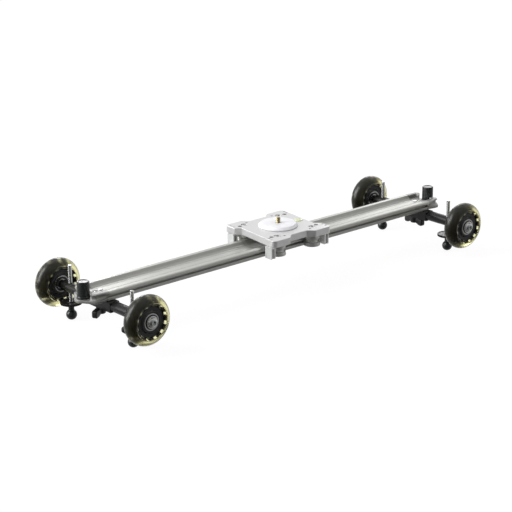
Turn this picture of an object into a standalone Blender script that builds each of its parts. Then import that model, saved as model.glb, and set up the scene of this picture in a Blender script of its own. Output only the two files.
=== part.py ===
"""Skater dolly: a short camera slider on four skate wheels.

A carriage rolls along a 563 mm rail on four grooved rollers. Each end of the rail sits on a
truck, a round arm with a skate wheel at each end, which swivels on a wing knob. Four screw legs
with ball feet hold the dolly 10.5 mm clear of its wheels, and screw up when it is to roll.
X runs along the rail, Z is up, and the origin is on the floor under the middle of the rail.
"""

import math

import bmesh
import bpy
from mathutils import Euler, Matrix, Vector

GAP = 0.0003

# Wheels and the heights that follow from them
WHEEL_RADIUS = 0.032
TYRE_WIDTH = 0.0228
FOOT_DROP = 0.0105
AXLE_Z = WHEEL_RADIUS + FOOT_DROP
TRACK = 0.184
WHEEL_Y = TRACK / 2

# Tyre, core and bearings, with half widths measured from the wheel's middle plane
TYRE_BORE = 0.0238
CORE_RIM = 0.0202
TOOTH_TIP = 0.0235
TOOTH_COUNT = 12
HUB_HALF = 0.0096
RIM_HALF = 0.0092
WEB_HALF = 0.0074
BEARING_RADIUS = 0.011
BEARING_BORE = 0.004
BEARING_INSIDE = 0.0026
SEAT_RING = 0.0092
BEARING_FACE = 0.0095
AXLE_SHANK = 0.0037
AXLE_FLANGE = 0.0081
AXLE_HEAD = 0.0066

# Rail section, with heights above the axle line
RAIL_HALF_LENGTH = 0.2815
RAIL_BOTTOM = 0.0059
RAIL_TOP = 0.0190
RIM_OUT = 0.0248
RIM_IN = 0.0159
RIM_THICK = 0.0050
LIP_OUT = 0.0214
LIP_TOP = 0.0102
NECK = 0.0172
WEB_TOP = 0.0144
WEB_UNDER = 0.0082

# End caps and their bumpers, with reaches measured from the end of the rail
CAP_HALF_WIDTH = 0.0242
CAP_BOTTOM = 0.0064
LOBE_REACH = 0.0155
LOBE_RADIUS = 0.0060
CHANNEL_REACH = 0.0140
TONGUE_TOP = 0.0102
TONGUE_RADIUS = 0.0116
BUMPER_REACH = 0.0212
BUMPER_X = RAIL_HALF_LENGTH + BUMPER_REACH
BUMPER_RADIUS = 0.0078
BUMPER_TOP = 0.0316
SCREW_REACH = 0.0041
CAP_SCREW_X = RAIL_HALF_LENGTH + SCREW_REACH

# Trucks, levelling legs and wing knobs
TRUCK_INSET = 0.0045
TRUCK_X = RAIL_HALF_LENGTH - TRUCK_INSET
ARM_RADIUS = 0.0070
ARM_BOSS = 0.0056
ARM_BORE = 0.0145
AXLE_LENGTH = 2 * BEARING_FACE + ARM_BORE + GAP
BLOCK_HALF_X = 0.0085
BLOCK_HALF_Y = 0.0292
LEG_INSET = 0.0280
LEG_Y = WHEEL_Y - LEG_INSET
ROD_RADIUS = 0.0025
ROD_TOP = 0.0300
ROD_END = -0.0310
DISC_RADIUS = 0.0140
DISC_TOP = -0.0182
DISC_THICK = 0.0030
BALL_RADIUS = 0.0070
NECK_RADIUS = 0.0037
NECK_TOP = -0.0234
SPOT_FACE = -0.0058
WING_HALF = 0.0180
WING_THICK = 0.0070
KNOB_BOLT = 0.0030

# Carriage, with heights above the axle line
CARRIAGE_X = 0.0155
PLATE_HALF_X = 0.0510
PLATE_HALF_Y = 0.0490
PLATE_BOTTOM = 0.0250
PLATE_TOP = 0.0343
ROLLER_X = 0.0305
ROLLER_Y = 0.0330
ROLLER_RADIUS = 0.0105
ROLLER_LOW = 0.0089
ROLLER_HIGH = 0.0240
ROLLER_BORE = 0.0030
STUD_RADIUS = 0.003175
STUD_TOP = 0.0460
MOUNT_RADIUS = 0.0263
MOUNT_RIM = 0.0238
MOUNT_THICK = 0.0040
LEVEL_X = 0.0365
LEVEL_RADIUS = 0.0055
WIPER_X = 0.0480
WIPER_HALF_X = 0.0029
WIPER_Y = 0.0378
WIPER_HALF_Y = 0.0062
WIPER_LOW = 0.0085

for old in list(bpy.data.objects):
    bpy.data.objects.remove(old, do_unlink=True)
PARTS = bpy.data.collections.new("skater_dolly")
CUTTERS = bpy.data.collections.new("cutters")
bpy.context.scene.collection.children.link(PARTS)
bpy.context.scene.collection.children.link(CUTTERS)
CUTTERS.hide_render = True


def surface(name, colour, roughness, metallic):
    """A plain material with one colour."""
    made = bpy.data.materials.new(name)
    made.use_nodes = True
    shader = made.node_tree.nodes["Principled BSDF"]
    shader.inputs["Base Color"].default_value = (*colour, 1.0)
    shader.inputs["Roughness"].default_value = roughness
    shader.inputs["Metallic"].default_value = metallic
    return made


def place(name, mesh, coat, location=(0, 0, 0), rotation=(0, 0, 0)):
    """One piece of the dolly, at a place in the world."""
    piece = bpy.data.objects.new(name, mesh)
    PARTS.objects.link(piece)
    piece.location = location
    piece.rotation_euler = rotation
    if not mesh.materials:
        mesh.materials.append(coat)
    return piece


def finished(piece):
    """The mesh that the object's modifiers make, with its double points joined."""
    bpy.context.view_layer.update()
    graph = bpy.context.evaluated_depsgraph_get()
    mesh = bpy.data.meshes.new_from_object(piece.evaluated_get(graph))
    work = bmesh.new()
    work.from_mesh(mesh)
    bmesh.ops.remove_doubles(work, verts=work.verts, dist=1e-6)
    bmesh.ops.recalc_face_normals(work, faces=work.faces)
    work.to_mesh(mesh)
    work.free()
    old = piece.data
    bpy.data.objects.remove(piece, do_unlink=True)
    if isinstance(old, bpy.types.Curve):
        bpy.data.curves.remove(old)
    elif not old.users:
        bpy.data.meshes.remove(old)
    mesh.shade_smooth()
    mesh.set_sharp_from_angle(angle=math.radians(32))
    return mesh


def turned(profile, steps, ring=False):
    """A profile of (radius, height) points, turned about Z. A ring's profile closes on itself."""
    mesh = bpy.data.meshes.new("profile")
    count = len(profile)
    edges = [(i, i + 1) for i in range(count - 1)]
    if ring:
        edges.append((count - 1, 0))
    mesh.from_pydata([(r, 0, z) for r, z in profile], edges, [])
    holder = bpy.data.objects.new("profile", mesh)
    PARTS.objects.link(holder)
    screw = holder.modifiers.new("turn", "SCREW")
    screw.steps = screw.render_steps = steps
    screw.use_merge_vertices = True
    screw.merge_threshold = 1e-6
    return finished(holder)


def fillet(corners, segments=3):
    """An outline with round corners, from (x, y, radius) corners."""
    points = []
    count = len(corners)
    for i, (x, y, radius) in enumerate(corners):
        here = Vector((x, y))
        if radius <= 0:
            points.append(here)
            continue
        before = (Vector(corners[i - 1][:2]) - here).normalized()
        after = (Vector(corners[(i + 1) % count][:2]) - here).normalized()
        half = before.angle(after) / 2
        reach = radius / math.tan(half)
        centre = here + (before + after).normalized() * radius / math.sin(half)
        start = here + before * reach - centre
        sweep = start.angle_signed(here + after * reach - centre)
        for step in range(segments + 1):
            turn = Matrix.Rotation(-sweep * step / segments, 2)
            points.append(centre + turn @ start)
    return points


def arc(x, y, radius, start, stop, steps):
    """Points on a circle, from one angle in degrees to another."""
    points = []
    for step in range(steps + 1):
        bend = math.radians(start + (stop - start) * step / steps)
        points.append((x + radius * math.cos(bend), y + radius * math.sin(bend)))
    return points


def slab(outline, low, high):
    """A flat outline in XY, filled from one height to another."""
    curve = bpy.data.curves.new("outline", "CURVE")
    curve.dimensions = "2D"
    curve.fill_mode = "BOTH"
    curve.extrude = (high - low) / 2
    line = curve.splines.new("POLY")
    line.points.add(len(outline) - 1)
    for point, (x, y) in zip(line.points, outline):
        point.co = (x, y, 0, 1)
    line.use_cyclic_u = True
    holder = bpy.data.objects.new("outline", curve)
    PARTS.objects.link(holder)
    mesh = finished(holder)
    mesh.transform(Matrix.Translation((0, 0, (low + high) / 2)))
    return mesh


def rounds(spots, segments=10):
    """One mesh of separate upright cylinders, from (x, y, radius, low, high) spots."""
    work = bmesh.new()
    for x, y, radius, low, high in spots:
        bmesh.ops.create_cone(
            work,
            cap_ends=True,
            segments=segments,
            radius1=radius,
            radius2=radius,
            depth=high - low,
            matrix=Matrix.Translation((x, y, (low + high) / 2)),
        )
    mesh = bpy.data.meshes.new("rounds")
    work.to_mesh(mesh)
    work.free()
    return mesh


def box(low, high):
    """A box from one corner to the other."""
    work = bmesh.new()
    bmesh.ops.create_cube(work, size=1)
    size = Vector(high) - Vector(low)
    middle = (Vector(high) + Vector(low)) / 2
    bmesh.ops.scale(work, vec=size, verts=work.verts)
    bmesh.ops.translate(work, vec=middle, verts=work.verts)
    mesh = bpy.data.meshes.new("box")
    work.to_mesh(mesh)
    work.free()
    return mesh


def helper(mesh, like=None):
    """A cutting or joining body, in the place of the piece that it works on."""
    tool = bpy.data.objects.new("cutter", mesh)
    CUTTERS.objects.link(tool)
    tool.hide_render = True
    tool.display_type = "WIRE"
    if like:
        tool.matrix_world = like
    return tool


def combine(body, mesh, operation="DIFFERENCE"):
    """The body's mesh with another cut from it, or joined to it."""
    holder = bpy.data.objects.new("body", body)
    PARTS.objects.link(holder)
    tool = helper(mesh)
    step = holder.modifiers.new("combine", "BOOLEAN")
    step.operation = operation
    step.object = tool
    made = finished(holder)
    bpy.data.objects.remove(tool, do_unlink=True)
    return made


def softened(body, width, segments=1, angle=50):
    """The mesh with its sharp edges bevelled."""
    holder = bpy.data.objects.new("body", body)
    PARTS.objects.link(holder)
    edge = holder.modifiers.new("edges", "BEVEL")
    edge.width = width
    edge.segments = segments
    edge.limit_method = "ANGLE"
    edge.angle_limit = math.radians(angle)
    edge.use_clamp_overlap = True
    return finished(holder)


def pivot(name, location):
    """An empty on a joint's axis."""
    empty = bpy.data.objects.new(name, None)
    PARTS.objects.link(empty)
    empty.location = location
    empty.empty_display_size = 0.02
    return empty


def hang(piece, empty):
    """Parents a piece to an empty and keeps its place."""
    piece.parent = empty
    piece.location = Vector(piece.location) - empty.location
    return piece


ALUMINIUM = surface("satin_aluminium", (0.56, 0.56, 0.53), 0.35, 1.0)
CAST = surface("cast_aluminium", (0.62, 0.62, 0.60), 0.42, 1.0)
PLATE = surface("silver_plate", (0.78, 0.78, 0.78), 0.40, 0.9)
BLACK_METAL = surface("black_coat", (0.018, 0.018, 0.018), 0.38, 0.2)
BLACK_RUBBER = surface("black_rubber", (0.02, 0.021, 0.021), 0.55, 0.0)
BLACK_NYLON = surface("black_nylon", (0.016, 0.016, 0.016), 0.32, 0.0)
STEEL = surface("bright_steel", (0.68, 0.68, 0.67), 0.22, 1.0)
ROLLER_STEEL = surface("turned_steel", (0.55, 0.55, 0.54), 0.30, 1.0)
SMOKE = surface("smoke_urethane", (0.16, 0.16, 0.10), 0.18, 0.0)
WHITE = surface("white_nylon", (0.90, 0.90, 0.93), 0.40, 0.0)
BRASS = surface("brass_stud", (0.50, 0.42, 0.22), 0.30, 1.0)
VIAL = surface("level_vial", (0.72, 0.78, 0.36), 0.15, 0.0)

SIDES = (("left", -1), ("right", 1))
ROWS = (("front", -1), ("back", 1))
ALONG_X = (math.pi / 2, 0, math.pi / 2)

# Rail, an extruded bar with two round-edged rims over a narrower foot
nose = RIM_THICK / 2
nose_y = RIM_OUT - nose
nose_z = RAIL_TOP - nose
half = [
    (0.0, WEB_UNDER),
    (0.0090, WEB_UNDER),
    (0.0098, RAIL_BOTTOM),
    (LIP_OUT - 0.0004, RAIL_BOTTOM),
    (LIP_OUT, RAIL_BOTTOM + 0.0004),
    (LIP_OUT, 0.0077),
    (LIP_OUT - 0.0004, 0.0081),
    (LIP_OUT, 0.0085),
    (LIP_OUT, LIP_TOP - 0.0004),
    (LIP_OUT - 0.0004, LIP_TOP),
    (NECK, LIP_TOP),
    (NECK, RAIL_TOP - RIM_THICK),
]
for step in range(6):
    bend = math.radians(-90 + 36 * step)
    half.append((nose_y + nose * math.cos(bend), nose_z + nose * math.sin(bend)))
half += [(RIM_IN + 0.0008, RAIL_TOP), (RIM_IN, RAIL_TOP - 0.0008), (RIM_IN, WEB_TOP)]
for groove in (0.0114, 0.0058):
    half += [(groove + 0.0006, WEB_TOP), (groove + 0.0003, WEB_TOP - 0.0006)]
    half += [(groove - 0.0003, WEB_TOP - 0.0006), (groove - 0.0006, WEB_TOP)]
half.append((0.0, WEB_TOP))
section = half + [(-y, z) for y, z in reversed(half) if y > 0]
rail_mesh = slab(section, GAP - RAIL_HALF_LENGTH, RAIL_HALF_LENGTH - GAP)
rail_mesh.transform(Euler(ALONG_X).to_matrix().to_4x4())
bolt_holes = [(along * TRUCK_X, 0, KNOB_BOLT + GAP, 0, 2 * RAIL_TOP) for side, along in SIDES]
rail_mesh = combine(rail_mesh, rounds(bolt_holes))
place("rail", rail_mesh, ALUMINIUM, (0, 0, AXLE_Z))

# End caps: two round-ended walls carry the rims on past a tongue with a bumper on it
lobe_x = RAIL_HALF_LENGTH + LOBE_REACH
lobe_y = CAP_HALF_WIDTH - LOBE_RADIUS
spread = math.hypot(BUMPER_X - lobe_x, lobe_y)
tilt = math.degrees(math.atan2(lobe_y, BUMPER_X - lobe_x))
flank = tilt - math.degrees(math.acos((LOBE_RADIUS - TONGUE_RADIUS) / spread))
cap_half = [(RAIL_HALF_LENGTH, -CAP_HALF_WIDTH)]
cap_half += arc(lobe_x, -lobe_y, LOBE_RADIUS, -90, flank, 3)
cap_half += arc(BUMPER_X, 0, TONGUE_RADIUS, flank, flank / 7, 3)
cap_outline = cap_half + [(x, -y) for x, y in reversed(cap_half)]
cap_mesh = softened(slab(cap_outline, CAP_BOTTOM, RAIL_TOP), 0.0010)

# The pocket follows the round ends of the walls and sweeps round behind the bumper
above = 2 * RAIL_TOP
pocket_radius = spread - LOBE_RADIUS
pocket_half = [(BUMPER_X + 2 * TONGUE_RADIUS, -CAP_HALF_WIDTH - LOBE_RADIUS)]
pocket_half += arc(lobe_x, -lobe_y, 3 * LOBE_RADIUS, flank + 6, flank + 6, 1)[:1]
pocket_half += arc(lobe_x, -lobe_y, LOBE_RADIUS, flank + 6, tilt, 4)
pocket_half += arc(BUMPER_X, 0, pocket_radius, 180 + tilt * 7 / 9, 180 + tilt / 9, 3)
pocket = pocket_half + [(x, -y) for x, y in reversed(pocket_half)]
cap_mesh = combine(cap_mesh, slab(pocket, TONGUE_TOP, above))
channel_start = RAIL_HALF_LENGTH - LOBE_REACH
channel_end = RAIL_HALF_LENGTH + CHANNEL_REACH
channel = fillet(
    [
        (channel_start, -RIM_IN, 0),
        (channel_end, -RIM_IN, 0.004),
        (channel_end, RIM_IN, 0.004),
        (channel_start, RIM_IN, 0),
    ]
)
cap_mesh = combine(cap_mesh, slab(channel, WEB_TOP, above))
cap_holes = [(CAP_SCREW_X, 0, 0.0018, 0, above), (BUMPER_X, 0, 0.0025, 0, above)]
cap_mesh = combine(cap_mesh, rounds(cap_holes))
cap_mesh = combine(cap_mesh, rounds([(CAP_SCREW_X, 0, 0.0032, WEB_TOP - 0.0022, above)], 12))

bumper_mesh = turned(
    [
        (0, BUMPER_TOP),
        (BUMPER_RADIUS - 0.0012, BUMPER_TOP),
        (BUMPER_RADIUS, BUMPER_TOP - 0.0010),
        (BUMPER_RADIUS, TONGUE_TOP + 0.0030),
        (BUMPER_RADIUS + 0.0006, TONGUE_TOP + 0.0018),
        (BUMPER_RADIUS + 0.0006, TONGUE_TOP + GAP),
        (0.0022, TONGUE_TOP + GAP),
        (0.0022, CAP_BOTTOM + 0.0004),
        (0, CAP_BOTTOM + 0.0004),
    ],
    16,
)
cap_screw_mesh = turned(
    [
        (0, WEB_TOP - 0.0001),
        (0.0022, WEB_TOP - 0.0001),
        (0.0029, WEB_TOP - 0.0006),
        (0.0029, WEB_TOP - 0.0019),
        (0.0015, WEB_TOP - 0.0019),
        (0.0015, CAP_BOTTOM + 0.0004),
        (0, CAP_BOTTOM + 0.0004),
    ],
    12,
)
for side, sign in SIDES:
    turn = (0, 0, 0) if sign > 0 else (0, 0, math.pi)
    place("end_cap_" + side, cap_mesh, CAST, (0, 0, AXLE_Z), turn)
    place("bumper_" + side, bumper_mesh, BLACK_RUBBER, (sign * BUMPER_X, 0, AXLE_Z))
    place("cap_screw_" + side, cap_screw_mesh, STEEL, (sign * CAP_SCREW_X, 0, AXLE_Z))

# Trucks, each a block under the rail with a round arm to either side
BOSS_END = WHEEL_Y - BEARING_FACE - GAP
arm = [
    (0, BOSS_END - ARM_BORE),
    (AXLE_SHANK + GAP, BOSS_END - ARM_BORE),
    (AXLE_SHANK + GAP, BOSS_END),
    (ARM_BOSS, BOSS_END),
    (ARM_BOSS, BOSS_END - 0.0040),
    (ARM_RADIUS - 0.0008, BOSS_END - 0.0040),
    (ARM_RADIUS, BOSS_END - 0.0048),
    (ARM_RADIUS, BLOCK_HALF_Y - 0.0004),
    (0, BLOCK_HALF_Y - 0.0004),
]
block = box((-BLOCK_HALF_X, -BLOCK_HALF_Y, -ARM_RADIUS), (BLOCK_HALF_X, BLOCK_HALF_Y, RAIL_BOTTOM - GAP))
truck_mesh = softened(block, 0.0008)
for row, sign in ROWS:
    side_arm = turned(arm, 16)
    side_arm.transform(Matrix.Rotation(-sign * math.pi / 2, 4, "X"))
    truck_mesh = combine(truck_mesh, side_arm, "UNION")
    near, far = sorted((sign * (LEG_Y - 0.015), sign * (BOSS_END + ARM_BOSS)))
    flat = box((-2 * ARM_RADIUS, near, -2 * ARM_RADIUS), (2 * ARM_RADIUS, far, SPOT_FACE))
    truck_mesh = combine(truck_mesh, flat)
holes = [(0, 0, KNOB_BOLT + GAP, -0.020, 0.020)]
holes += [(0, sign * LEG_Y, ROD_RADIUS + GAP, -0.020, 0.020) for row, sign in ROWS]
truck_mesh = combine(truck_mesh, rounds(holes))

# Wing knobs, whose bolts clamp the trucks and end on the rail's web
wing_line = fillet(
    [
        (-WING_HALF, -0.0085, 0.0022),
        (-0.0095, -0.0075, 0.003),
        (0.0095, -0.0075, 0.003),
        (WING_HALF, -0.0085, 0.0022),
        (WING_HALF, -0.0184, 0.0026),
        (0.0110, -0.0178, 0.004),
        (0.0045, -0.0150, 0.003),
        (-0.0045, -0.0150, 0.003),
        (-0.0110, -0.0178, 0.004),
        (-WING_HALF, -0.0184, 0.0026),
    ],
    2,
)
wing_mesh = slab(wing_line, -WING_THICK / 2, WING_THICK / 2)
wing_mesh.transform(Matrix.Rotation(math.pi / 2, 4, "X"))
wing_mesh = softened(wing_mesh, 0.0012)
hub = turned(
    [
        (0, WEB_TOP + 0.0012),
        (KNOB_BOLT - 0.0007, WEB_TOP + 0.0012),
        (KNOB_BOLT, WEB_TOP + 0.0006),
        (KNOB_BOLT, -ARM_RADIUS - 0.0010),
        (0.0064, -ARM_RADIUS - GAP),
        (0.0064, -0.0130),
        (0.0056, -0.0160),
        (0, -0.0160),
    ],
    16,
)
knob_mesh = combine(hub, wing_mesh, "UNION")

# Wheels, turned about their own axles with the outer face up
crown = TYRE_WIDTH / 2
crown_ring = WHEEL_RADIUS - crown
edge_angle = math.acos((TYRE_BORE - crown_ring) / crown)
tyre_line = []
for step in range(7):
    bend = edge_angle * (1 - 2 * step / 6)
    tyre_line.append((crown_ring + crown * math.cos(bend), crown * math.sin(bend)))
tyre_mesh = turned(tyre_line, 32, ring=True)

core_half = [
    (BEARING_RADIUS + GAP, BEARING_INSIDE - GAP),
    (BEARING_RADIUS + GAP, HUB_HALF),
    (0.0132, HUB_HALF),
    (0.0148, WEB_HALF),
    (0.0186, WEB_HALF),
    (CORE_RIM, RIM_HALF),
]
core_line = [(SEAT_RING, GAP - BEARING_INSIDE), (SEAT_RING, BEARING_INSIDE - GAP)] + core_half
core_line += [(r, -z) for r, z in reversed(core_half)]
core_mesh = turned(core_line, 2 * TOOTH_COUNT, ring=True)
teeth = bmesh.new()
teeth.from_mesh(core_mesh)
rim = [f for f in teeth.faces if f.calc_center_median().xy.length > 0.98 * CORE_RIM]
rim.sort(key=lambda f: math.atan2(f.calc_center_median().y, f.calc_center_median().x))
made = bmesh.ops.extrude_discrete_faces(teeth, faces=rim[::2])
for face in made["faces"]:
    rise = face.normal * (TOOTH_TIP - CORE_RIM)
    bmesh.ops.translate(teeth, vec=rise, verts=face.verts)
bmesh.ops.recalc_face_normals(teeth, faces=teeth.faces)
teeth.to_mesh(core_mesh)
teeth.free()
core_mesh.set_sharp_from_angle(angle=math.radians(32))

inner_bearing_mesh = turned(
    [
        (BEARING_RADIUS, BEARING_INSIDE),
        (BEARING_BORE, BEARING_INSIDE),
        (BEARING_BORE, BEARING_FACE),
        (BEARING_RADIUS, BEARING_FACE),
    ],
    16,
    ring=True,
)
bearing_mesh = turned(
    [
        (BEARING_RADIUS, BEARING_INSIDE),
        (BEARING_BORE, BEARING_INSIDE),
        (BEARING_BORE, BEARING_FACE),
        (0.0061, BEARING_FACE),
        (0.0061, BEARING_FACE - 0.0005),
        (0.0095, BEARING_FACE - 0.0005),
        (0.0095, BEARING_FACE),
        (BEARING_RADIUS, BEARING_FACE),
    ],
    16,
    ring=True,
)
flange_z = BEARING_FACE + GAP
axle_mesh = turned(
    [
        (0, flange_z + 0.0050),
        (0.0036, flange_z + 0.0050),
        (0.0057, flange_z + 0.0038),
        (AXLE_HEAD, flange_z + 0.0012),
        (AXLE_FLANGE, flange_z + 0.0010),
        (AXLE_FLANGE, flange_z),
        (AXLE_SHANK, flange_z),
        (AXLE_SHANK, flange_z - AXLE_LENGTH),
        (0, flange_z - AXLE_LENGTH),
    ],
    16,
)
axle_mesh = combine(axle_mesh, rounds([(0, 0, 0.0029, flange_z + 0.0026, 0.030)], 6))

# Levelling legs, each a threaded rod with a grip disc and a rubber ball foot
rod_mesh = turned(
    [
        (0, ROD_TOP),
        (ROD_RADIUS - 0.0006, ROD_TOP),
        (ROD_RADIUS, ROD_TOP - 0.0006),
        (ROD_RADIUS, ROD_END),
        (0, ROD_END),
    ],
    12,
)
disc_mesh = turned(
    [
        (ROD_RADIUS + GAP, DISC_TOP),
        (DISC_RADIUS - 0.0006, DISC_TOP),
        (DISC_RADIUS, DISC_TOP - 0.0006),
        (DISC_RADIUS, DISC_TOP - DISC_THICK),
        (ROD_RADIUS + GAP, DISC_TOP - DISC_THICK),
    ],
    20,
    ring=True,
)
ball_z = -AXLE_Z + BALL_RADIUS - 0.0002
foot_line = [
    (ROD_RADIUS + GAP, NECK_TOP),
    (NECK_RADIUS, NECK_TOP),
    (NECK_RADIUS, ball_z + math.sqrt(BALL_RADIUS**2 - NECK_RADIUS**2)),
]
first = math.asin(NECK_RADIUS / BALL_RADIUS)
flat_angle = math.acos((AXLE_Z + ball_z) / BALL_RADIUS)
for step in range(1, 7):
    bend = first + (math.pi - flat_angle - first) * step / 6
    foot_line.append((BALL_RADIUS * math.sin(bend), ball_z + BALL_RADIUS * math.cos(bend)))
foot_line += [(0, -AXLE_Z), (0, ROD_END - GAP), (ROD_RADIUS + GAP, ROD_END - GAP)]
foot_mesh = turned(foot_line, 12, ring=True)

for side, along in SIDES:
    swivel = pivot("truck_pivot_" + side, (along * TRUCK_X, 0, AXLE_Z))
    hang(place("truck_" + side, truck_mesh, BLACK_METAL, swivel.location), swivel)
    turn = (0, 0, math.radians(24) if along < 0 else math.radians(86))
    knob_turn = place("wing_knob_" + side, knob_mesh, BLACK_NYLON, (along * TRUCK_X, 0, AXLE_Z), turn)
    for row, across in ROWS:
        tag = side + "_" + row
        hub_place = (along * TRUCK_X, across * WHEEL_Y, AXLE_Z)
        outward = (-across * math.pi / 2, 0, 0)
        inward = (across * math.pi / 2, 0, 0)
        hang(place("tyre_" + tag, tyre_mesh, SMOKE, hub_place, outward), swivel)
        hang(place("wheel_core_" + tag, core_mesh, BLACK_NYLON, hub_place, outward), swivel)
        hang(place("bearing_outer_" + tag, bearing_mesh, STEEL, hub_place, outward), swivel)
        hang(place("bearing_inner_" + tag, inner_bearing_mesh, STEEL, hub_place, inward), swivel)
        hang(place("axle_bolt_" + tag, axle_mesh, STEEL, hub_place, outward), swivel)
        leg_place = (along * TRUCK_X, across * LEG_Y, AXLE_Z)
        hang(place("leg_rod_" + tag, rod_mesh, STEEL, leg_place), swivel)
        hang(place("leg_disc_" + tag, disc_mesh, BLACK_NYLON, leg_place), swivel)
        hang(place("leg_foot_" + tag, foot_mesh, BLACK_RUBBER, leg_place), swivel)

# Carriage plate, with an ear at each corner and a shallow bay in each side
quarter = [
    (PLATE_HALF_X, PLATE_HALF_Y, 0.0055),
    (0.0225, PLATE_HALF_Y, 0.0025),
    (0.0140, PLATE_HALF_Y - 0.008, 0.0025),
]
bay = [(PLATE_HALF_X - 0.0075, 0.0225, 0.0025), (PLATE_HALF_X, 0.0295, 0.0025)]
upper = [(x, y, r) for x, y, r in quarter] + [(-x, y, r) for x, y, r in reversed(quarter)]
upper += [(-x, y, r) for x, y, r in reversed(bay)]
plate_corners = upper + [(x, -y, r) for x, y, r in reversed(upper)]
plate_corners = plate_corners + [(x, -y, r) for x, y, r in reversed(bay)] + bay
plate_line = fillet(plate_corners, 3)
plate_mesh = softened(slab(plate_line, PLATE_BOTTOM, PLATE_TOP), 0.0008)
quadrants = [(sx, sy) for sx in (-1, 1) for sy in (-1, 1)]
through = [(0, 0, STUD_RADIUS + GAP, PLATE_TOP - 0.006, 0.050)]
shallow = [(LEVEL_X, 0, LEVEL_RADIUS + GAP, PLATE_TOP - 0.0036, 0.050)]
for sx, sy in quadrants:
    through.append((sx * ROLLER_X, sy * ROLLER_Y, ROLLER_BORE + GAP, 0.020, 0.050))
    through.append((sx * 0.0397, sy * 0.0315, 0.0030, PLATE_TOP - 0.0070, 0.050))
    through.append((sx * 0.0225, sy * 0.0380, 0.0017, PLATE_TOP - 0.0040, 0.050))
    through.append((sx * WIPER_X, sy * 0.0345, 0.0015, PLATE_TOP - 0.0030, 0.050))
    through.append((sx * WIPER_X, sy * 0.0410, 0.0015, PLATE_TOP - 0.0030, 0.050))
    shallow.append((sx * ROLLER_X, sy * ROLLER_Y, 0.0047, PLATE_TOP - 0.0024, 0.050))
plate_mesh = combine(plate_mesh, rounds(through, 8))
plate_mesh = combine(plate_mesh, rounds(shallow, 12))

carriage = pivot("carriage_pivot", (CARRIAGE_X, 0, AXLE_Z))
hang(place("carriage_plate", plate_mesh, PLATE, carriage.location), carriage)

groove = nose + GAP
groove_ring = ROLLER_Y - nose_y
steep = math.asin(math.sqrt(1 - ((groove_ring - ROLLER_RADIUS) / groove) ** 2))
roller_line = [(ROLLER_BORE + GAP, ROLLER_HIGH), (ROLLER_RADIUS - 0.0008, ROLLER_HIGH)]
roller_line.append((ROLLER_RADIUS, ROLLER_HIGH - 0.0008))
for step in range(6):
    bend = steep * (1 - 2 * step / 5)
    roller_line.append((groove_ring - groove * math.cos(bend), nose_z + groove * math.sin(bend)))
roller_line += [(ROLLER_RADIUS, ROLLER_LOW + 0.0012), (ROLLER_RADIUS - 0.0012, ROLLER_LOW)]
roller_line.append((ROLLER_BORE + GAP, ROLLER_LOW))
roller_mesh = turned(roller_line, 18, ring=True)
bolt_mesh = turned(
    [
        (0, PLATE_TOP - 0.0001),
        (0.0036, PLATE_TOP - 0.0001),
        (0.0043, PLATE_TOP - 0.0007),
        (0.0043, PLATE_TOP - 0.0021),
        (ROLLER_BORE, PLATE_TOP - 0.0021),
        (ROLLER_BORE, ROLLER_LOW + 0.0006),
        (0, ROLLER_LOW + 0.0006),
    ],
    12,
)
wiper_line = fillet(
    [
        (-WIPER_HALF_Y, WIPER_LOW, 0.0015),
        (WIPER_HALF_Y, WIPER_LOW, 0.0015),
        (WIPER_HALF_Y, PLATE_BOTTOM - GAP, 0),
        (-WIPER_HALF_Y, PLATE_BOTTOM - GAP, 0),
    ],
    3,
)
wiper_mesh = slab(wiper_line, -WIPER_HALF_X, WIPER_HALF_X)
for side, along in SIDES:
    for row, across in ROWS:
        tag = side + "_" + row
        spot = (CARRIAGE_X + along * ROLLER_X, across * ROLLER_Y, AXLE_Z)
        hang(place("roller_" + tag, roller_mesh, ROLLER_STEEL, spot), carriage)
        hang(place("roller_bolt_" + tag, bolt_mesh, STEEL, spot), carriage)
        corner = (CARRIAGE_X + along * WIPER_X, across * WIPER_Y, AXLE_Z)
        hang(place("corner_guard_" + tag, wiper_mesh, CAST, corner, ALONG_X), carriage)

# Camera mount on the plate, with its threaded stud and a round bubble level beside it
mount_low = PLATE_TOP + GAP
mount_mesh = turned(
    [
        (STUD_RADIUS + GAP, mount_low + MOUNT_THICK),
        (MOUNT_RIM - 0.0006, mount_low + MOUNT_THICK),
        (MOUNT_RIM, mount_low + MOUNT_THICK - 0.0005),
        (MOUNT_RADIUS, mount_low + 0.0010),
        (MOUNT_RADIUS, mount_low),
        (STUD_RADIUS + GAP, mount_low),
    ],
    32,
    ring=True,
)
stud_mesh = turned(
    [
        (0, STUD_TOP),
        (STUD_RADIUS - 0.0007, STUD_TOP),
        (STUD_RADIUS, STUD_TOP - 0.0007),
        (STUD_RADIUS, PLATE_TOP - 0.0056),
        (0, PLATE_TOP - 0.0056),
    ],
    20,
)
level_mesh = turned(
    [
        (0, PLATE_TOP + 0.0013),
        (0.0040, PLATE_TOP + 0.0010),
        (LEVEL_RADIUS - 0.0004, PLATE_TOP + 0.0010),
        (LEVEL_RADIUS, PLATE_TOP + 0.0006),
        (LEVEL_RADIUS, PLATE_TOP - 0.0033),
        (0, PLATE_TOP - 0.0033),
    ],
    20,
)
hang(place("mount_disc", mount_mesh, WHITE, carriage.location), carriage)
hang(place("mount_stud", stud_mesh, BRASS, carriage.location), carriage)
level_place = (CARRIAGE_X + LEVEL_X, 0, AXLE_Z)
hang(place("bubble_level", level_mesh, VIAL, level_place), carriage)
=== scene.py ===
import math

import bmesh
import bpy
from mathutils import Matrix, Vector


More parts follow.
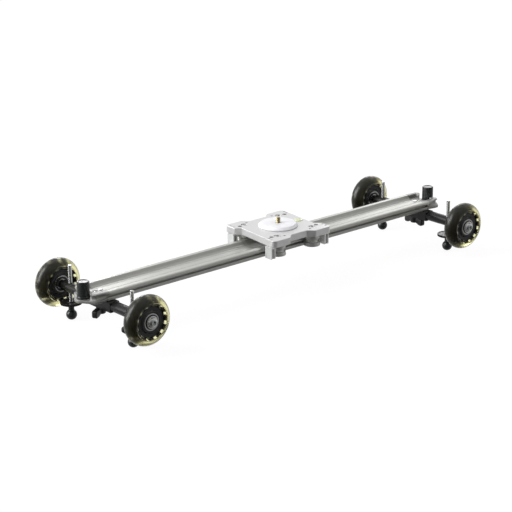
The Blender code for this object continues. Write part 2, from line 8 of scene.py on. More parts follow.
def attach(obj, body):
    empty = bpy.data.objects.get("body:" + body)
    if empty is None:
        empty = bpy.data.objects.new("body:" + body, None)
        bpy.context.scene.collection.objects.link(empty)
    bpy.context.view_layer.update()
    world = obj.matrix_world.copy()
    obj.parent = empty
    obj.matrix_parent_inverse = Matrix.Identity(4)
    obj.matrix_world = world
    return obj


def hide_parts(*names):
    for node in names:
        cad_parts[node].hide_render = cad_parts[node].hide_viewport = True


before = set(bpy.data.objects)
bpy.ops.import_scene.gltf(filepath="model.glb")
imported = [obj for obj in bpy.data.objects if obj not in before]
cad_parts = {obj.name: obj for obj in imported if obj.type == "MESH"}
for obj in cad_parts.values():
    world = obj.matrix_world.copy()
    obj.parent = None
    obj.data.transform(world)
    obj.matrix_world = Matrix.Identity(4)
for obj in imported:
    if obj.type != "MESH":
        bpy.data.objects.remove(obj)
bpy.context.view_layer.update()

# Camera
# A long lens looks down along the rail from its left front corner.
aim = Vector((-0.0237, 0.0, 0.0429))
bearing = math.radians(-41.07)
height_angle = math.radians(18.62)
tilt = math.radians(-0.35)
distance = 2.3077
away = Vector(
    (
        math.sin(bearing) * math.cos(height_angle),
        -math.cos(bearing) * math.cos(height_angle),
        math.sin(height_angle),
    )
)
right = Vector((math.cos(bearing), math.sin(bearing), 0.0))
up = away.cross(right)
right, up = (
    right * math.cos(tilt) + up * math.sin(tilt),
    up * math.cos(tilt) - right * math.sin(tilt),
)
lens = bpy.data.cameras.new("camera")
lens.lens = 123.03
lens.clip_end = 20.0
camera = bpy.data.objects.new("camera", lens)
axes = Matrix((right, up, away)).transposed().to_4x4()
camera.matrix_world = Matrix.Translation(aim + away * distance) @ axes
bpy.context.scene.collection.objects.link(camera)
bpy.context.scene.camera = camera
bpy.context.scene.view_settings.view_transform = "Standard"


# Floor and light
# A wide sheet of white card runs out to a white room. One large soft box stands behind the left
# end and lights all that faces it. Two small panels close behind the rail put a gleam on its ends.
def linear(code):
    """The linear colour of an sRGB hex code."""
    parts = [int(code[i : i + 2], 16) / 255 for i in (0, 2, 4)]
    return (*[p / 12.92 if p <= 0.04045 else ((p + 0.055) / 1.055) ** 2.4 for p in parts], 1.0)


def add(tree, kind, inputs=(), **settings):
    """Adds a shader node with its settings, and with a value or a link on each socket named."""
    made = tree.nodes.new(kind)
    for name, value in settings.items():
        setattr(made, name, value)
    for socket, value in dict(inputs).items():
        if isinstance(value, bpy.types.NodeSocket):
            tree.links.new(value, made.inputs[socket])
        else:
            made.inputs[socket].default_value = value
    return made


def direct(tree):
    """One on a ray from the camera, or on through a clear piece, and zero on any other ray."""
    ray = add(tree, "ShaderNodeLightPath").outputs
    kinds = {0: ray["Is Camera Ray"], 1: ray["Is Transmission Ray"]}
    return add(tree, "ShaderNodeMath", kinds, operation="MAXIMUM").outputs[0]


def blended(tree, share, low, high):
    """Two shaders mixed by a share: the low one at zero and the high one at one."""
    inputs = {0: share, 1: low.outputs[0], 2: high.outputs[0]}
    return add(tree, "ShaderNodeMixShader", inputs)


# What glossy rays meet grows brighter from the dark side of the room to its bright side.
bright_side = (0.234, 0.359, 0.172)
darkest, brightest = 0.03, 0.95
white = linear("ffffff")
room = bpy.data.worlds.new("room")
room.use_nodes = True
bpy.context.scene.world = room
tree = room.node_tree
tree.nodes.clear()
bounce = add(tree, "ShaderNodeBackground", {"Color": white, "Strength": 0.54})
seen = add(tree, "ShaderNodeBackground", {"Color": white, "Strength": 1.0})
inputs = {0: add(tree, "ShaderNodeTexCoord").outputs["Generated"], 1: bright_side}
toward = add(tree, "ShaderNodeVectorMath", inputs, operation="DOT_PRODUCT").outputs["Value"]
inputs = {0: toward, 1: -0.465, 2: 0.455, 3: darkest, 4: brightest}
level = add(tree, "ShaderNodeMapRange", inputs)
mirrored = add(tree, "ShaderNodeBackground", {"Color": white, "Strength": level.outputs[0]})
glossy = add(tree, "ShaderNodeLightPath").outputs["Is Glossy Ray"]
shade = blended(tree, direct(tree), blended(tree, glossy, bounce, mirrored), seen)
add(tree, "ShaderNodeOutputWorld", {"Surface": shade.outputs[0]})

card = bpy.data.materials.new("matt_white_card")
card.use_nodes = True
tree = card.node_tree
tree.nodes.clear()
matt = add(tree, "ShaderNodeBsdfDiffuse", {"Color": linear("e6e6e6")})
glow = add(tree, "ShaderNodeEmission", {"Color": white, "Strength": 1.08})
glow_share = 0.86
part_lit = add(tree, "ShaderNodeMath", {0: direct(tree), 1: glow_share}, operation="MULTIPLY")
shade = blended(tree, part_lit.outputs[0], matt, glow)
add(tree, "ShaderNodeOutputMaterial", {"Surface": shade.outputs[0]})
sheet = bpy.data.meshes.new("floor")
work = bmesh.new()
bmesh.ops.create_grid(work, x_segments=1, y_segments=1, size=9.0)
work.to_mesh(sheet)
work.free()
sheet.materials.append(card)
floor = bpy.data.objects.new("floor", sheet)
floor.location.z = -0.0004
floor.visible_glossy = False
bpy.context.scene.collection.objects.link(floor)

for name, place, size, power in (
    ("soft_box", (-2.96, 1.71, 1.84), (2.0, 3.7), 140.0),
    ("left_panel", (-0.032, 0.387, 0.240), (0.125, 0.09), 0.30),
    ("right_panel", (0.580, 0.336, 0.207), (0.22, 0.09), 0.24),
):
    lamp = bpy.data.lights.new(name, "AREA")
    lamp.shape = "RECTANGLE"
    lamp.size, lamp.size_y = size
    lamp.energy = power
    holder = bpy.data.objects.new(name, lamp)
    holder.location = place
    holder.visible_camera = False
    to_middle = Vector((0.0, 0.0, 0.05)) - Vector(place)
    holder.rotation_euler = to_middle.to_track_quat("-Z", "Y").to_euler()
    bpy.context.scene.collection.objects.link(holder)

# Rail
# An extruded aluminium bar, sawn to length, satin anodised and drawn along its length. Its two
# round-edged rims carry the rollers, and its foot is bolted down to the trucks.
MM = 0.001
AXLE = 0.0425  # the height of the wheels' axles, from which all heights in millimetres count
RAIL_HALF = 281.2
TRUCK_X = 277.0


def fillet(corners):
    """A line in millimetres with its corners rounded, from (x, y, radius) corners."""
    points = []
    for i, (x, y, radius) in enumerate(corners):
        here = Vector((x, y))
        if radius <= 0:
            points.append(here)
            continue
        before = (Vector(corners[i - 1][:2]) - here).normalized()
        after = (Vector(corners[(i + 1) % len(corners)][:2]) - here).normalized()
        half = before.angle(after) / 2
        reach = radius / math.tan(half)
        centre = here + (before + after).normalized() * radius / math.sin(half)
        start = here + before * reach - centre
        sweep = start.angle_signed(here + after * reach - centre)
        steps = max(3, min(16, round(2.5 * radius)))
        for step in range(steps + 1):
            points.append(centre + Matrix.Rotation(-sweep * step / steps, 2) @ start)
    return points


def meshed(name, work):
    """The mesh that an edit leaves."""
    mesh = bpy.data.meshes.new(name)
    work.to_mesh(mesh)
    work.free()
    return mesh


def extruded(name, points, low, high):
    """A solid of a flat outline in millimetres, from one height to another."""
    work = bmesh.new()
    base = work.faces.new([work.verts.new((x * MM, y * MM, low * MM)) for x, y in points])
    raised = bmesh.ops.extrude_face_region(work, geom=[base])["geom"]
    lifted = [v for v in raised if isinstance(v, bmesh.types.BMVert)]
    bmesh.ops.translate(work, vec=(0, 0, (high - low) * MM), verts=lifted)
    bmesh.ops.recalc_face_normals(work, faces=work.faces)
    return meshed(name, work)


def block(name, across, along, upright):
    """A block, from its two ends on each axis in millimetres."""
    (left, right), (near, far) = across, along
    return extruded(name, [(left, near), (right, near), (right, far), (left, far)], *upright)


def settled(mesh, *steps):
    """The mesh after modifiers, each given as a kind and its settings."""
    holder = bpy.data.objects.new("work", mesh)
    bpy.context.scene.collection.objects.link(holder)
    for kind, settings in steps:
        step = holder.modifiers.new(kind.lower(), kind)
        for name, value in settings.items():
            setattr(step, name, value)
    result = holder.evaluated_get(bpy.context.evaluated_depsgraph_get())
    made = bpy.data.meshes.new_from_object(result)
    bpy.data.objects.remove(holder, do_unlink=True)
    return made


def cut(mesh, tool, operation="DIFFERENCE"):
    """The mesh with another one cut from it or joined to it."""
    holder = bpy.data.objects.new("tool", tool)
    bpy.context.scene.collection.objects.link(holder)
    made = settled(mesh, ("BOOLEAN", dict(object=holder, operation=operation, solver="EXACT")))
    bpy.data.objects.remove(holder, do_unlink=True)
    return made


def discs(spots, sides=32):
    """Upright cylinders in one mesh, from (x, y, radius, low, high) in millimetres."""
    work = bmesh.new()
    for x, y, radius, low, high in spots:
        middle = Matrix.Translation((x * MM, y * MM, (low + high) / 2 * MM))
        bmesh.ops.create_cone(
            work,
            cap_ends=True,
            segments=sides,
            radius1=radius * MM,
            radius2=radius * MM,
            depth=(high - low) * MM,
            matrix=middle,
        )
    return meshed("discs", work)


def shaded(mesh, angle=35):
    """The mesh shaded smooth, apart from edges that turn by more than an angle in degrees."""
    mesh.shade_smooth()
    mesh.set_sharp_from_angle(angle=math.radians(angle))
    return mesh


def edged(mesh, width, segments=3, angle=50):
    """The mesh with its sharp edges rounded and its flat faces shaded flat."""
    round_off = dict(
        width=width * MM,
        segments=segments,
        limit_method="ANGLE",
        angle_limit=math.radians(angle),
        miter_outer="MITER_ARC",
    )
    mesh = shaded(settled(mesh, ("BEVEL", round_off)), 48)
    return settled(mesh, ("WEIGHTED_NORMAL", dict(keep_sharp=True, weight=60)))


def piece_of(name, mesh, coat, x=0.0, y=0.0, turn=(0.0, 0.0, 0.0)):
    """One piece of the dolly, with its finish, x and y millimetres from the middle of the rail."""
    made = bpy.data.objects.new(name, mesh)
    bpy.context.scene.collection.objects.link(made)
    made.location = (x * MM, y * MM, AXLE)
    made.rotation_euler = turn
    if not mesh.materials:
        mesh.materials.append(coat)
    return made


def finish(name, colour, **values):
    """A material with one Principled shader, and its tree."""
    coat = bpy.data.materials.new(name)
    coat.use_nodes = True
    tree = coat.node_tree
    shader = tree.nodes["Principled BSDF"]
    shader.inputs["Base Color"].default_value = linear(colour)
    for word, value in values.items():
        socket = word.replace("_", " ").title().replace("Ior", "IOR")
        shader.inputs[socket].default_value = value
    return coat, tree, shader


def noise(tree, scale, detail):
    """A noise texture that keeps its place on a piece, with spots about 1 / scale metres wide."""
    body = add(tree, "ShaderNodeTexCoord").outputs["Object"]
    inputs = {"Vector": body, "Scale": scale, "Detail": detail}
    return add(tree, "ShaderNodeTexNoise", inputs).outputs[0]


def sheen(shader, texture, span, rough):
    """Roughness that goes from one value to another over a span of a texture."""
    tree = shader.id_data
    inputs = {0: texture, 1: span[0], 2: span[1], 3: rough[0], 4: rough[1]}
    gloss = add(tree, "ShaderNodeMapRange", inputs)
    tree.links.new(gloss.outputs[0], shader.inputs["Roughness"])


def tinted(shader, share, low, high):
    """Colour that goes with a share from one hex code to another."""
    tree = shader.id_data
    inputs = {0: share, 6: linear(low), 7: linear(high)}
    colour = add(tree, "ShaderNodeMix", inputs, data_type="RGBA")
    tree.links.new(colour.outputs[2], shader.inputs["Base Color"])


def bumps(shader, texture, strength, depth):
    """Relief that follows a texture, with its depth in metres."""
    tree = shader.id_data
    inputs = {"Strength": strength, "Distance": depth, "Height": texture}
    relief = add(tree, "ShaderNodeBump", inputs)
    tree.links.new(relief.outputs[0], shader.inputs["Normal"])


# Anodised aluminium, drawn lengthwise: fine lines, and a satin sheen that is wider across them.
rail_coat, tree, shader = finish(
    "anodised_aluminium_drawn", "c2c2be", metallic=0.84, roughness=0.48
)
body = add(tree, "ShaderNodeTexCoord").outputs["Object"]
drawn = add(tree, "ShaderNodeMapping", {0: body, "Scale": (6.0, 2400.0, 2400.0)}).outputs[0]
inputs = {"Vector": drawn, "Scale": 1.0, "Detail": 3.0}
lines = add(tree, "ShaderNodeTexNoise", inputs).outputs[0]
inputs = {0: lines, 1: noise(tree, 35.0, 3.0)}
both = add(tree, "ShaderNodeMath", inputs, operation="ADD").outputs[0]
tint = add(tree, "ShaderNodeMapRange", {0: both, 1: 0.6, 2: 1.4, 3: 0.0, 4: 1.0})
sheen(shader, both, (0.6, 1.4), (0.43, 0.54))
tinted(shader, tint.outputs[0], "bebeba", "cacac6")
bumps(shader, lines, 0.35, 0.00002)

RIM_OUT, RIM_LOW, RIM_HIGH = 24.8, 14.0, 19.0
WEB_TOP = 14.4
rail_half = [
    (0.0, 8.2, 0),
    (9.0, 8.2, 0.4),
    (9.8, 5.9, 0.3),
    (21.4, 5.9, 0.5),
    (21.4, 7.8, 0.1),
    (21.0, 8.1, 0.1),
    (21.4, 8.4, 0.1),
    (21.4, 10.2, 0.5),
    (17.2, 10.2, 0.4),
    (17.2, RIM_LOW, 0.4),
    (RIM_OUT, RIM_LOW, 2.45),
    (RIM_OUT, RIM_HIGH, 2.45),
    (17.2, RIM_HIGH, 1.1),
    (15.2, WEB_TOP, 1.2),
]
for middle, reach, depth in ((11.4, 0.6, 0.7), (5.8, 0.4, 0.4)):
    groove_floor = WEB_TOP - depth
    rail_half += [(middle + reach, WEB_TOP, 0.1), (middle + reach / 2, groove_floor, 0.1)]
    rail_half += [(middle - reach / 2, groove_floor, 0.1), (middle - reach, WEB_TOP, 0.1)]
rail_half.append((0.0, WEB_TOP, 0))
section = fillet(rail_half)
section += [Vector((-p.x, p.y)) for p in reversed(section) if p.x > 1e-6]
rail_mesh = extruded("rail", section, -RAIL_HALF, RAIL_HALF)

# Lays an extrusion down along the rail: its outline's x goes across, and its y goes up.
LAID_ALONG = Matrix.Rotation(math.pi / 2, 4, "Z") @ Matrix.Rotation(math.pi / 2, 4, "X")
rail_mesh.transform(LAID_ALONG)
bolt_holes = [(-TRUCK_X, 0, 3.3, 0, 30), (TRUCK_X, 0, 3.3, 0, 30)]
rail_mesh = cut(rail_mesh, discs(bolt_holes))
rail_mesh = edged(rail_mesh, 0.25, 2)
rail = piece_of("rail_bar", rail_mesh, rail_coat)
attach(rail, "rail")
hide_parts("rail")

# End caps
# Die-cast aluminium ends, satin painted silver, one screwed to each end of the rail. Two walls
# with round ends carry the rims on, and a tongue between them holds the bumper.
SIDES = (("left", -1), ("right", 1))
ROWS = (("front", -1), ("back", 1))

# Silver paint on cast aluminium: a fine grain and a slightly uneven sheen.
cast_coat, tree, shader = finish(
    "cast_aluminium_silver", "a4a4a2", metallic=0.84, roughness=0.48
)
sheen(shader, noise(tree, 60.0, 3.0), (0.3, 0.7), (0.43, 0.53))
bumps(shader, noise(tree, 1800.0, 2.0), 0.25, 0.00003)


def rim_point(x, y, radius, angle):
    """The point on a circle at an angle in degrees."""
    bend = math.radians(angle)
    return Vector((x + radius * math.cos(bend), y + radius * math.sin(bend)))


def arc(x, y, radius, start, stop, steps):
    """Points on a circle, from one angle in degrees to another."""
    sweep = (stop - start) / steps
    return [rim_point(x, y, radius, start + sweep * step) for step in range(steps + 1)]


def eased(value, start, length):
    """A smooth step from zero to one, over a length from a start."""
    share = min(1.0, max(0.0, (value - start) / length))
    return share * share * (3 - 2 * share)


def mirrored_line(half):
    """A closed outline, from the half of it on the front side."""
    return half + [Vector((p.x, -p.y)) for p in reversed(half)]


def skinned(name, outline, levels):
    """A solid of a flat outline, whose side at each place follows levels(place)."""
    work = bmesh.new()
    count = len(outline)
    area = sum(outline[i - 1].cross(p) for i, p in enumerate(outline))
    columns = []
    for i, here in enumerate(outline):
        along = (outline[(i + 1) % count] - outline[i - 1]).normalized()
        inward = Vector((-along.y, along.x)) * (1 if area > 0 else -1)
        column = []
        for inset, height in levels(here):
            place = (here + inward * inset) * MM
            column.append(work.verts.new((place.x, place.y, height * MM)))
        columns.append(column)
    for i, column in enumerate(columns):
        before = columns[i - 1]
        for k in range(len(column) - 1):
            work.faces.new([before[k], column[k], column[k + 1], before[k + 1]])
    work.faces.new([column[0] for column in columns])
    work.faces.new([column[-1] for column in columns])
    bmesh.ops.recalc_face_normals(work, faces=work.faces)
    return meshed(name, work)


# The side of a cap, as (inset, height). Next to the rail it carries on the rail's rim, groove and
# foot. The groove spreads into a hollow in the side of the wall's round end, over a rounded foot,
# and the leaf says how much deeper that hollow is there than at the tongue.
next_to_rail = [(3.6, 6.4), (3.0, 6.6), (2.8, 7.2), (2.8, 9.6), (3.0, 10.1), (3.3, 10.15)]
next_to_rail += [(4.0, 10.3), (4.0, 12.0), (4.0, 13.9), (2.2, 14.0), (1.0, 14.35), (0.15, 15.2)]
next_to_rail += [(0.0, 16.5), (0.35, 17.7), (1.1, 18.5), (2.0, 18.9), (2.9, 19.0)]
round_end = [(0.9, 6.4), (0.25, 6.65), (0.05, 7.3), (0.05, 9.3), (0.25, 9.9), (0.8, 10.15)]
round_end += [(1.15, 10.6), (1.3, 11.6), (1.25, 13.1), (1.15, 14.6), (1.05, 15.7), (1.0, 16.6)]
round_end += [(1.1, 17.2), (1.35, 17.8), (1.85, 18.4), (2.5, 18.85), (3.2, 19.0)]
leaf = [0, 0, 0, 0, 0, 0.4, 1.3, 2.2, 2.9, 2.9, 2.4, 1.7, 0.9, 0.2, 0, 0, 0]
change_start = 282.0


def cap_side(place):
    """The levels of the cap's side at a place on its outline."""
    share = eased(place.x, change_start, 12.0)
    beside = eased(abs(place.y), 15.0, 7.5)
    levels = []
    for (inset, height), (end_inset, end_height), hollow in zip(next_to_rail, round_end, leaf):
        end_inset += hollow * beside
        inset = inset * (1 - share) + end_inset * share
        levels.append((inset, height * (1 - share) + end_height * share))
    return levels


CAP_SCREW_X = 285.6
BUMPER_X = 302.7
cap_start = 281.5
tongue_top = 10.2
over_cap = 30.0
narrowing = 0.6
wall_end = (297.0, -18.2)
wall_radius = 6.0
tongue_radius = 11.6
spread = math.hypot(BUMPER_X - wall_end[0], wall_end[1])
slant = math.degrees(math.atan2(-wall_end[1], BUMPER_X - wall_end[0]))
flank = slant - math.degrees(math.acos((wall_radius - tongue_radius) / spread))
stations = (274, *range(280, 295), 296)
cap_half = [Vector((x, narrowing * eased(x, change_start, 14.0) - RIM_OUT)) for x in stations]
cap_half += arc(*wall_end, wall_radius, -90, flank, 20)
cap_half += arc(BUMPER_X, 0, tongue_radius, flank, flank / 25, 16)

# The pocket round the bumper starts on the outer side of each wall's round end.
lead = flank + 6
pocket_half = [Vector((326, -30)), rim_point(*wall_end, 18.0, lead)]
for step in range(21):
    share = step / 20
    angle = lead + (slant - lead) * share
    pocket_half.append(rim_point(*wall_end, wall_radius - 1.1 * (1 - share), angle))
sweep_start, sweep_end = 180 + slant * 26 / 27, 180 + slant / 27
pocket_half += arc(BUMPER_X, 0, spread - wall_radius, sweep_start, sweep_end, 13)
pocket = mirrored_line(pocket_half)
channel = fillet([(260, -15.9, 0), (295.5, -15.9, 4), (295.5, 15.9, 4), (260, 15.9, 0)])
lip = [(0, 18.3), (-0.2, 18.75), (-0.7, RIM_HIGH), (-0.7, over_cap)]
screw_hole = (CAP_SCREW_X, 0, 1.8, 0, over_cap)
bumper_hole = (BUMPER_X, 0, 2.5, 0, over_cap)
screw_head_hole = (CAP_SCREW_X, 0, 3.2, 12.2, over_cap)
cap_mesh = skinned("cap", mirrored_line(cap_half), cap_side)
for tool in (
    skinned("pocket", pocket, lambda place: [(0, tongue_top), *lip]),
    skinned("channel", channel, lambda place: [(0, WEB_TOP), *lip]),
    discs([screw_hole, bumper_hole]),
    discs([screw_head_hole]),
    block("end_face", (260, cap_start), (-40, 40), (0, 40)),
):
    cap_mesh = cut(cap_mesh, tool)
cap_mesh = shaded(cap_mesh, 38)
for side, sign in SIDES:
    turn = (0, 0, 0 if sign > 0 else math.pi)
    cap = piece_of("cap_" + side, cap_mesh, cast_coat, turn=turn)
    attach(cap, "rail")
    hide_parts("end_cap_" + side)

# Bumpers
# Moulded rubber posts, one pressed into each end cap, that stop the carriage at the rail's ends.


def turned(name, corners, sides=72, closed=False):
    """A turned solid, from (radius, height, rounding) corners in millimetres."""
    points = fillet(corners)
    mesh = bpy.data.meshes.new(name)
    edges = [(i, i + 1) for i in range(len(points) - 1)]
    if closed:
        edges.append((len(points) - 1, 0))
    mesh.from_pydata([(r * MM, 0, z * MM) for r, z in points], edges, [])
    spin = dict(steps=sides, render_steps=sides, use_merge_vertices=True, merge_threshold=1e-6)
    made = settled(mesh, ("SCREW", spin), ("WELD", dict(merge_threshold=1e-6)))
    work = bmesh.new()
    work.from_mesh(made)
    bmesh.ops.recalc_face_normals(work, faces=work.faces)
    work.to_mesh(made)
    work.free()
    return shaded(made)


# Nitrile rubber, moulded: nearly black and satin, with a faint skin texture.
rubber, tree, shader = finish("nitrile_rubber_moulded", "202323", roughness=0.26, ior=1.52)
sheen(shader, noise(tree, 120.0, 4.0), (0.35, 0.7), (0.20, 0.32))
bumps(shader, noise(tree, 900.0, 2.0), 0.15, 0.00003)

bumper_mesh = turned(
    "bumper",
    [
        (0, 31.0, 0),
        (5.2, 31.0, 0.4),
        (5.8, 31.6, 0.3),
        (7.8, 31.6, 0.9),
        (7.8, 13.2, 1.0),
        (8.4, 12.0, 0.3),
        (8.4, 10.5, 0.2),
        (2.2, 10.5, 0),
        (2.2, 6.8, 0),
        (0, 6.8, 0),
    ],
)
for side, sign in SIDES:
    bumper = piece_of("bumper_post_" + side, bumper_mesh, rubber, sign * BUMPER_X)
    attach(bumper, "rail")
    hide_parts("bumper_" + side)

# Cap screws
# Zinc-plated pan-head screws with a cross recess, one through each end cap into the rail.

# Zinc-plated steel: bright, with a faint stain that dulls it in patches.
steel, tree, shader = finish("zinc_plated_steel", "cfd0d0", metallic=1.0, roughness=0.2)
stain = noise(tree, 220.0, 4.0)
sheen(shader, stain, (0.3, 0.7), (0.14, 0.30))
bumps(shader, stain, 0.15, 0.00002)

screw_mesh = turned(
    "cap_screw",
    [
        (0, 14.3, 0),
        (1.4, 14.2, 0.5),
        (2.9, 13.4, 0.5),
        (2.9, 12.5, 0.1),
        (1.5, 12.5, 0),
        (1.5, 6.8, 0),
        (0, 6.8, 0),
    ],
    40,
)
cross = block("cross", (-1.6, 1.6), (-0.3, 0.3), (13.5, 15))
screw_mesh = cut(screw_mesh, cross)
cross.transform(Matrix.Rotation(math.pi / 2, 4, "Z"))
screw_mesh = shaded(cut(screw_mesh, cross))
for side, sign in SIDES:
    name = "cap_screw_head_" + side
    screw = piece_of(name, screw_mesh, steel, sign * CAP_SCREW_X, turn=(0, 0, 0.4))
    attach(screw, "rail")
    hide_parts("cap_screw_" + side)

# Trucks
# A steel block under each end of the rail with a round arm welded to either side, all powder
# coated satin black. The wing bolt through its middle holds it at any angle to the rail.

# Powder coat on steel: satin black with a faint orange peel.
powder, tree, shader = finish("powder_coated_steel", "101010", roughness=0.3, ior=1.42)
sheen(shader, noise(tree, 90.0, 4.0), (0.3, 0.7), (0.24, 0.36))
bumps(shader, noise(tree, 700.0, 1.5), 0.35, 0.00005)

LEG_Y = 64.0
block_line = [(-7.3, -29.2, 1.5), (7.3, -29.2, 1.5), (7.3, 29.2, 1.5), (-7.3, 29.2, 1.5)]
truck_mesh = extruded("truck", fillet(block_line), -7.0, 5.6)
truck_mesh = cut(truck_mesh, discs([(0, 0, 3.3, -20, 20)]))
truck_mesh = edged(truck_mesh, 0.7, 3, 40)
arm_line = [
    (0, 67.7, 0),
    (4.0, 67.7, 0),
    (4.0, 82.2, 0.2),
    (5.6, 82.2, 0.4),
    (5.6, 78.2, 0.3),
    (6.0, 78.2, 0.1),
    (7.0, 77.2, 0.4),
    (7.0, 28.8, 0),
    (0, 28.8, 0),
]
arm_mesh = turned("arm", arm_line, 64)
arm_mesh.transform(Matrix.Rotation(-math.pi / 2, 4, "X"))
arm_mesh = cut(arm_mesh, block("flat", (-10, 10), (49, 90), (-12, -5.8)))
arm_mesh = cut(arm_mesh, discs([(0, LEG_Y, 2.8, -20, 20)]))
arm_mesh = edged(arm_mesh, 0.2, 2, 40)
for side, sign in SIDES:
    truck = piece_of("truck_block_" + side, truck_mesh, powder, sign * TRUCK_X)
    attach(truck, "truck_" + side)
    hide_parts("truck_" + side)
    for row, across in ROWS:
        turn = (0, 0, 0 if across > 0 else math.pi)
        name = "truck_arm_" + side + "_" + row
        arm = piece_of(name, arm_mesh, powder, sign * TRUCK_X, turn=turn)
        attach(arm, "truck_" + side)

# Wing knobs
# Glass-filled nylon wings moulded round a steel bolt. Each bolt runs up through its truck and the
# end of the rail, and its bright end shows in the rail's web.

# Glass-filled nylon, moulded: black, satin, with a slight mottle.
nylon, tree, shader = finish("glass_filled_nylon", "161616", roughness=0.34, ior=1.53)
mottle = noise(tree, 400.0, 3.0)
sheen(shader, mottle, (0.3, 0.7), (0.26, 0.42))
bumps(shader, mottle, 0.25, 0.00004)

wing_line = fillet(
    [
        (-18.0, -8.5, 2.4),
        (-9.5, -7.5, 3),
        (9.5, -7.5, 3),
        (18.0, -8.5, 2.4),
        (18.0, -18.4, 3.0),
        (11.0, -17.8, 4),
        (4.5, -15.0, 3),
        (-4.5, -15.0, 3),
        (-11.0, -17.8, 4),
        (-18.0, -18.4, 3.0),
    ]
)
wing_mesh = extruded("wing", wing_line, -3.5, 3.5)
wing_mesh.transform(Matrix.Rotation(math.pi / 2, 4, "X"))
wing_mesh = edged(wing_mesh, 1.5, 4, 60)
hub_line = [(0, -7.3, 0), (6.4, -7.3, 0.4), (6.4, -13.0, 0.6), (5.6, -16.0, 1.0), (0, -16.0, 0)]
knob_mesh = shaded(cut(wing_mesh, turned("hub", hub_line), "UNION"), 40)

# The thread is one ring for each of its turns, 1 mm apart.
thread_line = [(0, 15.6, 0), (2.2, 15.6, 0.2)]
for ring in range(22):
    top = 15.2 - ring
    thread_line += [(3.0, top - 0.35, 0.05), (2.62, top - 0.85, 0.05)]
thread_line += [(2.9, -6.9, 0), (2.9, -8.0, 0), (0, -8.0, 0)]
bolt_mesh = turned("wing_bolt", thread_line, 40)
for side, sign in SIDES:
    turn = (0, 0, math.radians(24 if sign < 0 else 86))
    knob = piece_of("wing_nut_" + side, knob_mesh, nylon, sign * TRUCK_X, turn=turn)
    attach(knob, "wing_knob_" + side)
    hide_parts("wing_knob_" + side)
    bolt = piece_of("wing_bolt_" + side, bolt_mesh, steel, sign * TRUCK_X, turn=turn)
    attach(bolt, "wing_knob_" + side)

# Wheel cores
# Black nylon mouldings: a hub that seats the two bearings, a dished web, and a rim whose twelve
# teeth key the tyre in place.
core_line = [
    (9.2, -2.3, 0.2),
    (9.2, 2.3, 0.2),
    (11.3, 2.3, 0.1),
    (11.3, 9.6, 0.3),
    (13.2, 9.6, 0.5),
    (14.8, 7.4, 1.0),
    (18.6, 7.4, 1.0),
    (20.2, 9.2, 0.4),
    (20.2, 7.2, 0),
    (20.2, -7.2, 0),
    (20.2, -9.2, 0.4),
    (18.6, -7.4, 1.0),
    (14.8, -7.4, 1.0),
    (13.2, -9.6, 0.5),
    (11.3, -9.6, 0.3),
    (11.3, -2.3, 0.1),
]
core_mesh = turned("core", core_line, 96, closed=True)
tooth_count = 12
tooth_half = [(19.0, 2.4, 0), (21.3, 2.1, 0.5), (21.9, 3.6, 0.4), (23.3, 3.8, 0.5)]
tooth_line = [(r, -across, bend) for r, across, bend in tooth_half] + tooth_half[::-1]
tooth = extruded("tooth", fillet(tooth_line), -9.1, 9.1)
teeth = bmesh.new()
for step in range(tooth_count):
    tooth.transform(Matrix.Rotation(2 * math.pi / tooth_count, 4, "Z"))
    teeth.from_mesh(tooth)
core_mesh = shaded(cut(core_mesh, meshed("teeth", teeth), "UNION"))

# Nylon under the urethane: the bond leaves it no surface to shine.
bonded, tree, shader = finish(
    "nylon_bonded_in_urethane", "14140c", roughness=1.0, specular_ior_level=0.0
)
core_mesh.materials.append(nylon)
core_mesh.materials.append(bonded)

# Painted light: a bright mirror foil band lies on the floor between the teeth, along one edge of
# the rim only: the outer edge of a front core and the inner edge of a back one, so always on the
# side toward the front. It stands in for the light that comes through the urethane between the
# teeth, and sends light back out.
gap_light_coat, tree, shader = finish(
    "painted_gap_light_foil", "f4f4ea", metallic=1.0, roughness=0.12
)
core_mesh.materials.append(gap_light_coat)
floor_from, floor_to = 20.12, 20.21
gap_light_from = 7.2
cores = {}
for row, across in ROWS:
    cores[row] = core_mesh.copy()
    for face in cores[row].polygons:
        from_axis = face.center.xy.length / MM
        on_floor = floor_from < from_axis < floor_to and abs(face.normal.z) < 0.1
        # Painted light: only the front-facing edge of the floor between the teeth takes the bright
        # foil.
        gap_lit = on_floor and face.center.z * -across > gap_light_from * MM
        face.material_index = int(from_axis > floor_from) + int(gap_lit)
CORNERS = [(side + "_" + row, along, across) for side, along in SIDES for row, across in ROWS]
WHEEL_Y = 92.0


def wheel_place(along, across, outward=True):
    """Where a wheel's piece goes, and how it turns so that its own +Z points away from the arm."""
    facing = -across if outward else across
    return along * TRUCK_X, across * WHEEL_Y, (facing * math.pi / 2, 0, 0)


for tag, along, across in CORNERS:
    core_mesh = cores[tag.split("_")[1]]
    core = piece_of("core_" + tag, core_mesh, nylon, *wheel_place(along, across))
    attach(core, "wheel_" + tag)
    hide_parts("wheel_core_" + tag)

# Tyres
# Smoke-tinted urethane, cast round the teeth of the core, with a satin skin. Light comes through
# its thin edges and between the teeth, and is lost where it is thick.
tread_middle = 20.6
tread_radius = 11.4
shoulder = 23.8
reach = math.degrees(math.acos((shoulder - tread_middle) / tread_radius))
tyre_line = [(*p, 0) for p in arc(tread_middle, 0, tread_radius, reach, -reach, 40)]
tyre_line += [(22.9, -9.5, 0.7), (20.0, -9.3, 0.1), (20.0, 9.3, 0.1), (22.9, 9.5, 0.7)]
tyre_mesh = turned("tyre", tyre_line, 144, closed=True)

